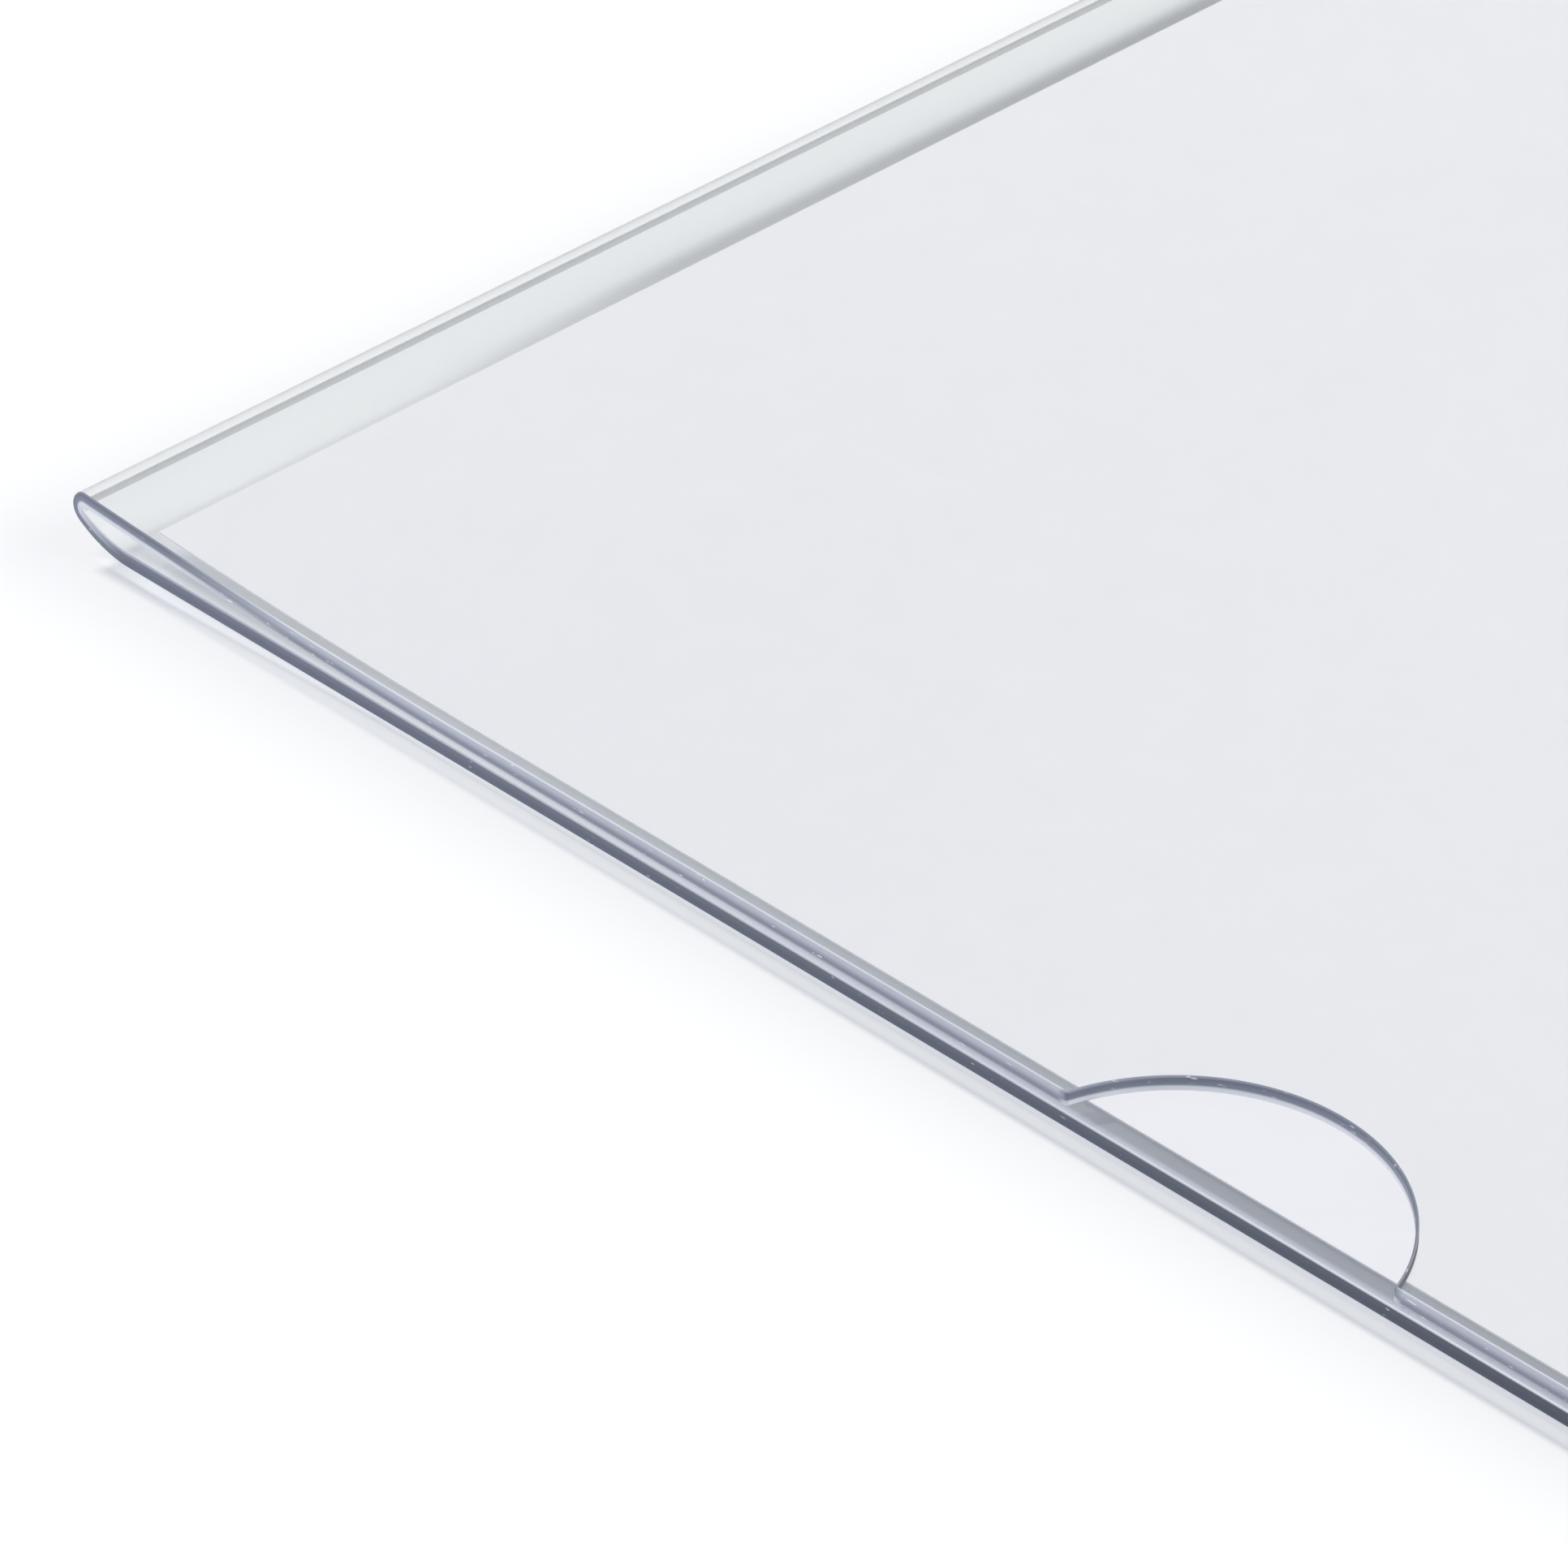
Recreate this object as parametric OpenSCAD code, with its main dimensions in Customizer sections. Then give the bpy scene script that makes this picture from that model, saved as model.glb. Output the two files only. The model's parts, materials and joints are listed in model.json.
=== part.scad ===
// Projecting sign holder: a clear acrylic sheet folded into a pocket for a sign sheet.
// It lies on its back panel here, as it does on a table. On a wall the fold is at the bottom,
// the flange is against the wall and the edge with the thumb notch points into the room.
// +X runs up the sign from the fold to the free top edge, +Y runs from the outer edge to the wall,
// and +Z points out of the front panel. The origin is under the middle of the holder.

/* [Sign sheet] */
// Width of the sign sheet, from the outer edge towards the wall
paper_w = 210; // [148:1:297]
// Height of the sign sheet, from the fold towards the free top edge
paper_h = 297; // [210:1:420]
// Thickness of the sign sheet
paper_t = 0.2; // [0.1:0.05:0.3]
// Air between the back panel and the sign sheet
paper_lift = 0.1; // [0.05:0.01:0.15]
// From the end of the heel bend to the lower edge of the sign sheet
paper_inset = 2; // [0:0.1:10]

/* [Acrylic sheet] */
// Thickness of the acrylic sheet
sheet_t = 1.6; // [1:0.1:3]
// Clear gap between the two panels where they lie parallel
pocket_gap = 0.7; // [0.5:0.05:1.5]
// From the sign sheet to the free top edge of the panels
top_margin = 3.2; // [0:0.1:15]
// From the outer edge of the panels back to the sign sheet
outer_margin = 2.5; // [0:0.1:10]
// From the sign sheet to the front panel's edge beside the flange
wall_margin = 1.2; // [0:0.1:10]
// Radius of the panels' free corners
corner_r = 3; // [1:0.1:10]

/* [Fold] */
// How far the fold stands above the panels where they lie parallel
fold_rise = 1.9; // [1:0.1:4]
// Inside radius of the nose, the tight upper bend of the fold
nose_r = 0.3; // [0.2:0.05:0.7]
// Inside radius of the heel, the long lower bend of the fold
heel_r = 11.5; // [6:0.5:30]
// Length over which the front panel comes down from the fold
slope_run = 60; // [40:1:180]

/* [Thumb notch] */
// Radius of the thumb notch
notch_r = 20; // [10:0.5:40]
// Depth of the thumb notch from the outer edge
notch_depth = 14; // [5:0.5:19]

/* [Wall flange] */
// Height of the flange from the back panel's underside to its free edge
flange_h = 28; // [22:0.5:60]
// Inside radius of the bend between the back panel and the flange
bend_r = 2; // [1:0.1:5]
// From the fold's nose to the start of the flange
flange_start = 18; // [12:0.5:60]
// Flat strip of back panel between the front panel's edge and the bend
flange_strip = 3; // [1:0.1:8]
// Radius of the flange's free corners
flange_corner_r = 5; // [1:0.1:10]
// Diameter of the screw holes
hole_d = 4.5; // [3:0.1:8]
// From each end of the flange to the nearest screw hole
hole_inset = 31; // [10:0.5:45]

/* [Foam tape] */
// Width of the foam tape
tape_w = 15; // [8:0.5:18]
// Thickness of the foam tape
tape_t = 1; // [0.5:0.1:2]
// Distance between the two strips of tape
tape_spacing = 40; // [5:1:60]
// From the edge of a screw hole to the liner's tab
tape_clearance = 12; // [2:0.5:20]
// Thickness of the release liner
liner_t = 0.15; // [0.1:0.05:0.3]

/* [Hidden] */
$fn = 96;

// How far a cutting tool runs past the face that it cuts
cut_over = 1;
// Straight steps that draw the nose, the heel and the sloping stretch of the front panel
nose_steps = 30;
heel_steps = 10;
slope_steps = 16;

// Heights above the table
panels_h = 2 * sheet_t + pocket_gap;
fold_h = panels_h + fold_rise;
paper_z = sheet_t + paper_lift;
gap_mid_z = sheet_t + pocket_gap / 2;

// The nose and the heel are two circles that touch from the inside, seen along the fold.
nose_x = nose_r + sheet_t;
nose_z = fold_h - nose_r - sheet_t;
heel_z = sheet_t + heel_r;
join_angle = asin((heel_z - nose_z) / (heel_r - nose_r));
heel_x = nose_x + (heel_r - nose_r) * cos(join_angle);
// The front panel leaves the nose at this angle below level.
slope_angle = atan(2 * fold_rise / (slope_run - nose_x));
slope_x = nose_x + (nose_r + sheet_t) * sin(slope_angle);

// Lengths from the fold's nose and widths from the outer edge
paper_x = heel_x + paper_inset;
pocket_len = paper_x + paper_h + top_margin;
panel_w = outer_margin + paper_w + wall_margin;
bend_y = panel_w + flange_strip;
wall_y = bend_y + bend_r + sheet_t;
overall_w = wall_y + tape_t + liner_t;
flange_len = pocket_len - flange_start;
hole_z = (sheet_t + bend_r + flange_h) / 2;
hole_spacing = flange_len - 2 * hole_inset;
// The liner's tab is the half-round end that reaches past the tape.
liner_tab = tape_w / 2;
tape_len = (hole_spacing - hole_d - tape_spacing) / 2 - tape_clearance - liner_tab;
tape_mid = (tape_spacing + tape_len) / 2;
flange_mid_x = flange_start + flange_len / 2;

// Points along an arc, in even steps from one angle to another
function arc_points(centre, radius, from, to, steps) = [
    for (i = [0 : steps])
        let (a = from + (to - from) * i / steps)
        centre + radius * [cos(a), sin(a)]
];

// Height of the front panel's outer face: it comes down in a curve that ends level.
function front_z(x) =
    panels_h + fold_rise * pow(max(slope_run - x, 0) / (slope_run - nose_x), 2);

// Points on a face of the front panel, from the free top edge to the nose
function front_points(drop) = concat(
    [[pocket_len, panels_h - drop]],
    [
        for (i = [0 : slope_steps])
            let (x = slope_run + (slope_x - slope_run) * i / slope_steps)
            [x, front_z(x) - drop]
    ]
);

// Points round the nose and the heel, as far inside the outer face as the offset says
function fold_points(offset) = concat(
    arc_points([nose_x, nose_z], nose_r + sheet_t - offset, 90 - slope_angle, 180 + join_angle, nose_steps),
    arc_points([heel_x, heel_z], heel_r + sheet_t - offset, 180 + join_angle, 270, heel_steps)
);

// The list from its last entry to its first
function reversed(list) = [for (i = [len(list) - 1 : -1 : 0]) list[i]];

// One face of the bent sheet, from the front panel's free edge round the fold to the back panel's
function face_points(depth) = concat(
    front_points(depth),
    [for (i = [1 : nose_steps + heel_steps + 1]) fold_points(depth)[i]],
    [[pocket_len, depth]]
);

// Waste outside a rounded corner, with the corner itself at the origin
module corner_waste(r) {
    difference() {
        translate([-cut_over, -cut_over]) square(r + cut_over);
        translate([r, r]) circle(r);
    }
}

// Back panel, fold and front panel
module pocket_panels() {
    translate([0, panel_w, 0])
        rotate([90, 0, 0])
        linear_extrude(panel_w)
        polygon(concat(face_points(0), reversed(face_points(sheet_t))));
}

// Section through the flange: the strip of back panel, the bend and the upright
module flange_section() {
    translate([panel_w - flange_strip, 0]) square([2 * flange_strip, sheet_t]);
    translate([bend_y, sheet_t + bend_r])
        intersection() {
            difference() {
                circle(bend_r + sheet_t);
                circle(bend_r);
            }
            translate([0, -bend_r - sheet_t]) square(bend_r + sheet_t);
        }
    translate([bend_y + bend_r, sheet_t + bend_r])
        square([sheet_t, flange_h - sheet_t - bend_r]);
}

// Wall flange with its two screw holes and rounded free corners
module wall_flange() {
    difference() {
        translate([flange_start, 0, 0])
            rotate([90, 0, 90])
            linear_extrude(flange_len)
            flange_section();
        for (side = [-1, 1])
            translate([flange_mid_x + side * hole_spacing / 2, wall_y + cut_over, hole_z])
            rotate([90, 0, 0])
            cylinder(d = hole_d, h = sheet_t + 2 * cut_over);
        for (side = [0, 1])
            translate([flange_start + side * flange_len, wall_y + cut_over, flange_h])
            mirror([side, 0, 0])
            mirror([0, 0, 1])
            rotate([90, 0, 0])
            linear_extrude(sheet_t + 2 * cut_over)
            corner_waste(flange_corner_r);
    }
}

// Rounded inside corner between the panels' edge and the start of the flange
module strip_fillet() {
    difference() {
        translate([flange_start - flange_strip, panel_w - flange_strip, 0])
            cube([2 * flange_strip, 2 * flange_strip, sheet_t]);
        translate([flange_start - flange_strip, panel_w + flange_strip, -cut_over])
            cylinder(r = flange_strip, h = sheet_t + 2 * cut_over);
    }
}

// Round cut-out in the front panel's outer edge
module thumb_notch() {
    translate([pocket_len / 2, notch_depth - notch_r, gap_mid_z])
        cylinder(r = notch_r, h = fold_h);
}

// Waste at the panels' free top corners: both panels outside, the front panel alone beside the flange
module panel_corners() {
    translate([pocket_len, 0, -cut_over])
        mirror([1, 0, 0])
        linear_extrude(fold_h + 2 * cut_over)
        corner_waste(corner_r);
    translate([pocket_len, panel_w, gap_mid_z])
        rotate(180)
        linear_extrude(fold_h)
        corner_waste(corner_r);
}

// Moves a piece from the nose and the outer edge to the middle of the holder
module placed() {
    translate([-pocket_len / 2, -overall_w / 2, 0]) children();
}

module folded_pocket() {
    color([0.86, 0.9, 0.92, 0.35])
        placed()
        union() {
            difference() {
                pocket_panels();
                thumb_notch();
                panel_corners();
            }
            wall_flange();
            strip_fillet();
        }
}

module sign_sheet() {
    color("white")
        placed()
        translate([paper_x, outer_margin, paper_z])
        cube([paper_h, paper_w, paper_t]);
}

// One strip of foam tape: side is -1 towards the fold and 1 towards the free top edge
module tape(side) {
    color("gainsboro")
        placed()
        translate([flange_mid_x + side * tape_mid - tape_len / 2, wall_y, hole_z - tape_w / 2])
        cube([tape_len, tape_t, tape_w]);
}

// The release liner on a strip, with its half-round tab towards the screw hole
module liner(side) {
    color("khaki")
        placed()
        translate([flange_mid_x + side * tape_mid, wall_y + tape_t + liner_t, hole_z])
        rotate([90, 0, 0])
        linear_extrude(liner_t)
        union() {
            square([tape_len, tape_w], center = true);
            translate([side * tape_len / 2, 0]) circle(d = tape_w);
        }
}

module lower_tape() { tape(-1); }
module upper_tape() { tape(1); }
module lower_liner() { liner(-1); }
module upper_liner() { liner(1); }

folded_pocket();
sign_sheet();
lower_tape();
upper_tape();
lower_liner();
upper_liner();
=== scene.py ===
"""Projecting sign holder: a folded clear acrylic pocket and its paper sign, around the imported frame."""

import json
import math

import bmesh
import bpy
from mathutils import Matrix, Vector, noise


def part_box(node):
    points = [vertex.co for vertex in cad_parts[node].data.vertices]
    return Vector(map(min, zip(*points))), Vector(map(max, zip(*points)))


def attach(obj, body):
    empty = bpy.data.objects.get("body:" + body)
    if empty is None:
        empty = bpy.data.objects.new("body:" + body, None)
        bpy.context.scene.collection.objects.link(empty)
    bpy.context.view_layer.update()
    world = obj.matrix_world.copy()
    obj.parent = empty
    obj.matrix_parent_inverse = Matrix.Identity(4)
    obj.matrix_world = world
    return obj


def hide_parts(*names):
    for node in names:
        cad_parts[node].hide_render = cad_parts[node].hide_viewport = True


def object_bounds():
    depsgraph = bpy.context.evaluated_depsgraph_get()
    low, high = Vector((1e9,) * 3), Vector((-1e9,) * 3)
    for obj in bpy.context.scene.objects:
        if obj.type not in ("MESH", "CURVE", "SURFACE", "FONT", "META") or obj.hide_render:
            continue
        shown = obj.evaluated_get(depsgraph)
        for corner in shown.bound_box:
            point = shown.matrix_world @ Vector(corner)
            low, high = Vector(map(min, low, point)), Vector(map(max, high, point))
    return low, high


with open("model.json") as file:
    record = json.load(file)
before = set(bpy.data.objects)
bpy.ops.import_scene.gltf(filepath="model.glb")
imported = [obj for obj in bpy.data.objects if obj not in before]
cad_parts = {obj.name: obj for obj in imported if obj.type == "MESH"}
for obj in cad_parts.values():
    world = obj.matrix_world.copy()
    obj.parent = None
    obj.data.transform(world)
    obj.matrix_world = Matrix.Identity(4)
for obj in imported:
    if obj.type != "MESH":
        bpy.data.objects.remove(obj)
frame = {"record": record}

bl_info = {
    "name": "Projecting Sign Holder",
    "version": (1, 0, 0),
    "blender": (4, 5, 0),
    "location": "3D View > Sidebar > Sign Holder",
    "description": "Builds a folded acrylic sign holder with its paper, foam tapes and liners",
    "category": "Object",
}

MM = 0.001
CAD_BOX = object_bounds()
POCKET_LOW, POCKET_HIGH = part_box("folded_pocket")
SIGN_LOW, SIGN_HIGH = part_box("sign_sheet")
SCREW_HOLES = next(m for m in frame["record"]["mounts"] if m["name"] == "wall_screw_holes")
SIDES = ("lower", "upper")
# Lamps: name, side that they stand on, distance, width, power and colour
LAMPS = (
    ("window_lamp", (1.1, 1.3, 1.0), 2.8, 0.4, 80.0, (1.0, 0.96, 0.89)),
    ("fill_lamp", (-0.8, -1.0, 0.6), 1.6, 1.2, 6.0, (0.93, 0.96, 1.0)),
)
# Rays that carry lamp light or soft light onto what lies behind clear plastic
LIGHT_RAYS = ("Is Shadow Ray", "Is Diffuse Ray")
# Rays that see a surface straight, mirrored or through clear plastic
SEEING_RAYS = ("Is Camera Ray", "Is Glossy Ray", "Is Transmission Ray")
WHITE = (1, 1, 1, 1)
# Times that light may pass or leave a face of the clear sheets
BOUNCES = 32
ACRYLIC_IOR = 1.49
# Lamp light that a face of clear acrylic lets by
CLEAR_PASS = (0.997, 0.997, 0.998, 1)
# How far the painted grey of the fold's crease reaches past the nose
CREASE_REACH = 0.9 * MM
# Spacing of saw marks, which stand across a cut edge, and of nicks, which lie along it
SAW_MARKS = (0.5 * MM, 0.5 * MM, 6 * MM)
NICKS = (1.6 * MM, 1.6 * MM, 0.3 * MM)
# Spacing of the paper's fibres
FIBRES = (0.9 * MM, 0.35 * MM, 0.35 * MM)
# Faces that meet at a larger angle keep a crisp edge between them.
SHARP_ANGLE = math.radians(40)
# Points closer than this are taken to lie on the same line.
NEAR = 0.01 * MM
# Corners of the blank closer than this become one.
WELD = 0.001 * MM
# Side of a square of foam, fine enough for its cells
FOAM_STEP = 0.125 * MM
# Steps that divide the paper and a liner
PAPER_COLUMNS, PAPER_ROWS = 99, 48
LINER_COLUMNS, TAB_COLUMNS, LINER_ROWS = 24, 24, 12
# How far the table reaches from its middle, and how far it lies below the holder
TABLE_REACH = 3
TABLE_DROP = 0.1 * MM
# Straight steps that draw each curve
SLOPE_STEPS = 48
NOSE_STEPS = 40
HEEL_STEPS = 24
BEND_STEPS = 20
CORNER_STEPS = 10
NOTCH_STEPS = 96
HOLE_STEPS = 48
# Colours across the cut edge, from the pocket's inside (0) to its outside (1), near the fold and far from it.
# They hold painted light and shade: painted highlights on the arrises, a painted dark core, a lighter inner
# side on the front panel, and lighter colours near the fold.
BACK_NEAR_EDGE = ((0.0, "#b9bec8"), (0.1, "#7b8190"), (0.5, "#6a7082"), (0.9, "#6d7384"), (1.0, "#8d93a0"))
BACK_FAR_EDGE = ((0.0, "#ffffff"), (0.07, "#23262f"), (0.75, "#2a2d37"), (0.95, "#50535f"), (1.0, "#6c6f7b"))
FRONT_NEAR_EDGE = ((0.0, "#eceef2"), (0.38, "#d9dde3"), (0.52, "#7f8594"), (0.9, "#6f7585"), (1.0, "#8d92a0"))
FRONT_FAR_EDGE = (
    (0.0, "#dfe2eb"),
    (0.14, "#bcc0cb"),
    (0.27, "#868c99"),
    (0.42, "#858a98"),
    (0.6, "#a0a4b0"),
    (0.8, "#b9bdc8"),
    (0.93, "#c4c8d2"),
    (1.0, "#e4e7ed"),
)
# How the heel shades the table: distance from the outer edge, strength of a soft line at its foot, and
# strength over the rest of the heel
HEEL_SHADE = (
    (0.0, 0.3, 0.0),
    (3 * MM, 0.12, 0.0),
    (14 * MM, 0.0, 0.0),
    (40 * MM, 0.1, 0.06),
    (75 * MM, 0.75, 0.2),
    (1.0, 1.0, 0.22),
)
# Light that passes the back panel's cut edge: its upper arris bends it away
BACK_EDGE_LIGHT = ((0.0, "#000000"), (0.22, "#484b50"), (0.42, "#b4b7bc"), (1.0, "#d4d6da"))


def linear(hex_colour):
    """Turns an sRGB hex colour into the linear red, green and blue that shaders take."""
    values = [int(hex_colour[i : i + 2], 16) / 255 for i in (1, 3, 5)]
    return tuple(v / 12.92 if v <= 0.04045 else ((v + 0.055) / 1.055) ** 2.4 for v in values)


def length_property(name, description, default):
    """A length in metres that a user may change."""
    return bpy.props.FloatProperty(
        name=name,
        description=description,
        default=default,
        min=0,
        precision=5,
        subtype="DISTANCE",
        unit="LENGTH",
    )


def colour_property(name, description, hex_colour):
    """A colour that a user may change, written as sRGB hex."""
    return bpy.props.FloatVectorProperty(
        name=name, description=description, default=linear(hex_colour), min=0, max=1, size=3, subtype="COLOR"
    )


def angle_property(name, description, degrees):
    """An angle that a user may change, written in degrees."""
    return bpy.props.FloatProperty(
        name=name, description=description, default=math.radians(degrees), subtype="ANGLE", unit="ROTATION"
    )


class PocketSettings(bpy.types.PropertyGroup):
    """Sizes and colours of the folded acrylic sheet"""

    sheet_t: length_property("Sheet", "Thickness of the acrylic sheet", 1.6 * MM)
    gap: length_property("Gap", "Gap between the panels where they lie parallel", 0.7 * MM)
    fold_rise: length_property("Fold rise", "How far the fold stands above the panels", 1.9 * MM)
    nose_r: length_property("Nose radius", "Inside radius of the fold's tight upper bend", 0.3 * MM)
    heel_r: length_property("Heel radius", "Inside radius of the fold's long lower bend", 11.5 * MM)
    slope_run: length_property("Slope run", "Length over which the front panel comes down", 60 * MM)
    notch_r: length_property("Notch radius", "Radius of the thumb notch", 20 * MM)
    notch_depth: length_property("Notch depth", "Depth of the thumb notch from the outer edge", 14 * MM)
    corner_r: length_property("Corner radius", "Radius of the panels' free corners", 3 * MM)
    wall_margin: length_property("Wall margin", "From the sign to the front panel's wall edge", 1.2 * MM)
    flange_start: length_property("Flange start", "From the fold's nose to the start of the flange", 18 * MM)
    flange_strip: length_property("Flange strip", "Flat strip between the front panel and the bend", 3 * MM)
    bend_r: length_property("Bend radius", "Inside radius of the flange's bend", 2 * MM)
    flange_corner_r: length_property("Flange corner", "Radius of the flange's free corners", 5 * MM)
    arris: length_property("Arris", "Width of the rounded edge that is left by cutting and wiping", 0.3 * MM)
    tint: colour_property("Tint", "Colour of the clear sheet's faces", "#f7f8f8")


class SignSettings(bpy.types.PropertyGroup):
    """Paper of the sign"""

    wave: length_property("Wave", "How far the paper lifts and dips between the panels", 0.05 * MM)
    wave_length: length_property("Wave length", "Distance from one lift of the paper to the next", 70 * MM)
    colour: colour_property("Paper", "Colour of the paper", "#e7e8ea")


class TapeSettings(bpy.types.PropertyGroup):
    """Foam tapes and release liners on the wall flange"""

    cell: length_property("Cell", "Width of a cell in the foam", 0.4 * MM)
    cell_depth: length_property("Cell depth", "Depth of a cut cell in the foam's sides", 0.12 * MM)
    curl: length_property("Curl", "How far the liner's tab bends towards the flange", 0.5 * MM)
    foam: colour_property("Foam", "Colour of the foam", "#dcdad3")
    liner: colour_property("Liner", "Colour of the release liner", "#d8bd80")


class StageSettings(bpy.types.PropertyGroup):
    """Camera, lamps and floor"""

    azimuth: angle_property("Azimuth", "Camera's turn about the vertical, from the outer edge", 47.47)
    elevation: angle_property("Elevation", "Camera's height above level", 34.48)
    roll: angle_property("Roll", "Camera's turn about its own view", -1.74)
    distance: length_property("Distance", "From the camera to its target", 672.7 * MM)
    target: bpy.props.FloatVectorProperty(
        name="Target",
        description="Point in the middle of the picture",
        default=(-72.63 * MM, -93.47 * MM, 2 * MM),
        subtype="TRANSLATION",
        unit="LENGTH",
    )
    lens: bpy.props.FloatProperty(
        name="Lens", description="Focal length on a 36 mm sensor", default=167.7, unit="CAMERA"
    )
    floor: colour_property("Floor", "Colour of the white table", "#eff1f3")


class SignHolderSettings(bpy.types.PropertyGroup):
    """Everything that a user would change on the sign holder"""

    pocket: bpy.props.PointerProperty(type=PocketSettings)
    sign: bpy.props.PointerProperty(type=SignSettings)
    tape: bpy.props.PointerProperty(type=TapeSettings)
    stage: bpy.props.PointerProperty(type=StageSettings)


def add_node(tree, kind, inputs=(), **settings):
    """Adds a node with its settings, then fills its inputs with plain values or links."""
    node = tree.nodes.new(kind)
    for name, value in settings.items():
        setattr(node, name, value)
    for key, value in dict(inputs).items():
        if isinstance(value, bpy.types.NodeSocket):
            tree.links.new(value, node.inputs[key])
        else:
            node.inputs[key].default_value = value
    return node


def new_material(name):
    """An empty material with its node tree."""
    material = bpy.data.materials.new(name)
    material.use_nodes = True
    material.node_tree.nodes.clear()
    return material


def math_node(tree, operation, *values):
    """One step of arithmetic on plain values or links."""
    return add_node(tree, "ShaderNodeMath", enumerate(values), operation=operation).outputs[0]


def vector_node(tree, operation, *vectors):
    """One step of arithmetic that gives a vector."""
    return add_node(tree, "ShaderNodeVectorMath", enumerate(vectors), operation=operation).outputs[0]


def map_range(tree, value, given, wanted):
    """A value moved from a given range to a wanted one, and held there."""
    limits = {"From Min": given[0], "From Max": given[1], "To Min": wanted[0], "To Max": wanted[1]}
    return add_node(tree, "ShaderNodeMapRange", {"Value": value, **limits}).outputs[0]


def rising(tree, value, start, end):
    """A share that goes from 0 to 1 between two values."""
    return map_range(tree, value, (start, end), (0.0, 1.0))


def falling(tree, value, start, end):
    """A share that goes from 1 to 0 between two values."""
    return map_range(tree, value, (start, end), (1.0, 0.0))


def product(tree, first, *others):
    """Several values multiplied together."""
    for value in others:
        first = math_node(tree, "MULTIPLY", first, value)
    return first


def blend(tree, share, first, second):
    """A colour between two, by a share that changes over the surface."""
    mix = add_node(tree, "ShaderNodeMix", {"Factor": share, 6: first, 7: second}, data_type="RGBA")
    return mix.outputs[2]


def ramp_colour(tree, value, stops):
    """A colour that changes with a value, from places and hex colours."""
    node = add_node(tree, "ShaderNodeValToRGB", {0: value})
    ramp = node.color_ramp
    while len(ramp.elements) < len(stops):
        ramp.elements.new(0.5)
    for element, (place, hex_colour) in zip(ramp.elements, stops):
        element.position = place
        element.color = (*linear(hex_colour), 1)
    return node.outputs[0]


def own_place(tree):
    """Place on the piece, in metres."""
    return add_node(tree, "ShaderNodeTexCoord").outputs["Object"]


def split(tree, vector):
    """The parts of a vector along each axis."""
    return add_node(tree, "ShaderNodeSeparateXYZ", {0: vector}).outputs


def streaks(tree, place, spacing, detail):
    """Noise that is stretched to a spacing along each axis."""
    stretched = vector_node(tree, "MULTIPLY", place, tuple(1 / step for step in spacing))
    inputs = {"Vector": stretched, "Scale": 1.0, "Detail": detail}
    return add_node(tree, "ShaderNodeTexNoise", inputs).outputs["Fac"]


def clouds(tree, place, spacing, detail):
    """Noise with the same spacing in every direction."""
    inputs = {"Vector": place, "Scale": 1 / spacing, "Detail": detail}
    return add_node(tree, "ShaderNodeTexNoise", inputs).outputs["Fac"]


def bump(tree, height, strength, distance):
    """Normals of a fine relief."""
    inputs = {"Height": height, "Strength": strength, "Distance": distance}
    return add_node(tree, "ShaderNodeBump", inputs).outputs[0]


def ray_share(tree, *kinds):
    """How far a ray is of one of these kinds."""
    path = add_node(tree, "ShaderNodeLightPath").outputs
    share = path[kinds[0]]
    for kind in kinds[1:]:
        share = math_node(tree, "MAXIMUM", share, path[kind])
    return share


def mix_shaders(tree, share, first, second):
    """A shader between two."""
    return add_node(tree, "ShaderNodeMixShader", {0: share, 1: first.outputs[0], 2: second.outputs[0]})


def add_shaders(tree, first, second):
    """Two shaders on top of each other."""
    return add_node(tree, "ShaderNodeAddShader", {0: first.outputs[0], 1: second.outputs[0]})


def set_surface(tree, shader):
    """Makes a shader the material's surface."""
    add_node(tree, "ShaderNodeOutputMaterial", {"Surface": shader.outputs[0]})


def clear_surface(tree, tint, roughness, passing_colour):
    """Clear plastic for what is seen, and a plain tint for the light that falls through it."""
    clear = add_node(
        tree,
        "ShaderNodeBsdfPrincipled",
        {"Base Color": (*tint, 1), "Roughness": roughness, "IOR": ACRYLIC_IOR, "Transmission Weight": 1.0},
    )
    passing = add_node(tree, "ShaderNodeBsdfTransparent", {"Color": passing_colour})
    set_surface(tree, mix_shaders(tree, ray_share(tree, *LIGHT_RAYS), clear, passing))


def polished_acrylic(settings):
    """Cast acrylic as it leaves its mould: clear and glossy, with shade where the heel leaves the table."""
    material = new_material("polished_cast_acrylic")
    tree = material.node_tree
    shade = add_node(tree, "ShaderNodeAttribute", attribute_name="heel_shade").outputs["Fac"]
    clear_surface(tree, settings.tint, 0.0, blend(tree, shade, CLEAR_PASS, (0.0, 0.02, 0.03, 1)))
    return material


def creased_acrylic():
    """Acrylic in the tight inside of the fold: rough, with a grey tint as painted shade, which draws the dark
    line that the tight bend shows.
    """
    material = new_material("heat_creased_acrylic")
    clear_surface(material.node_tree, linear("#bec3c4"), 0.55, CLEAR_PASS)
    return material


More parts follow.
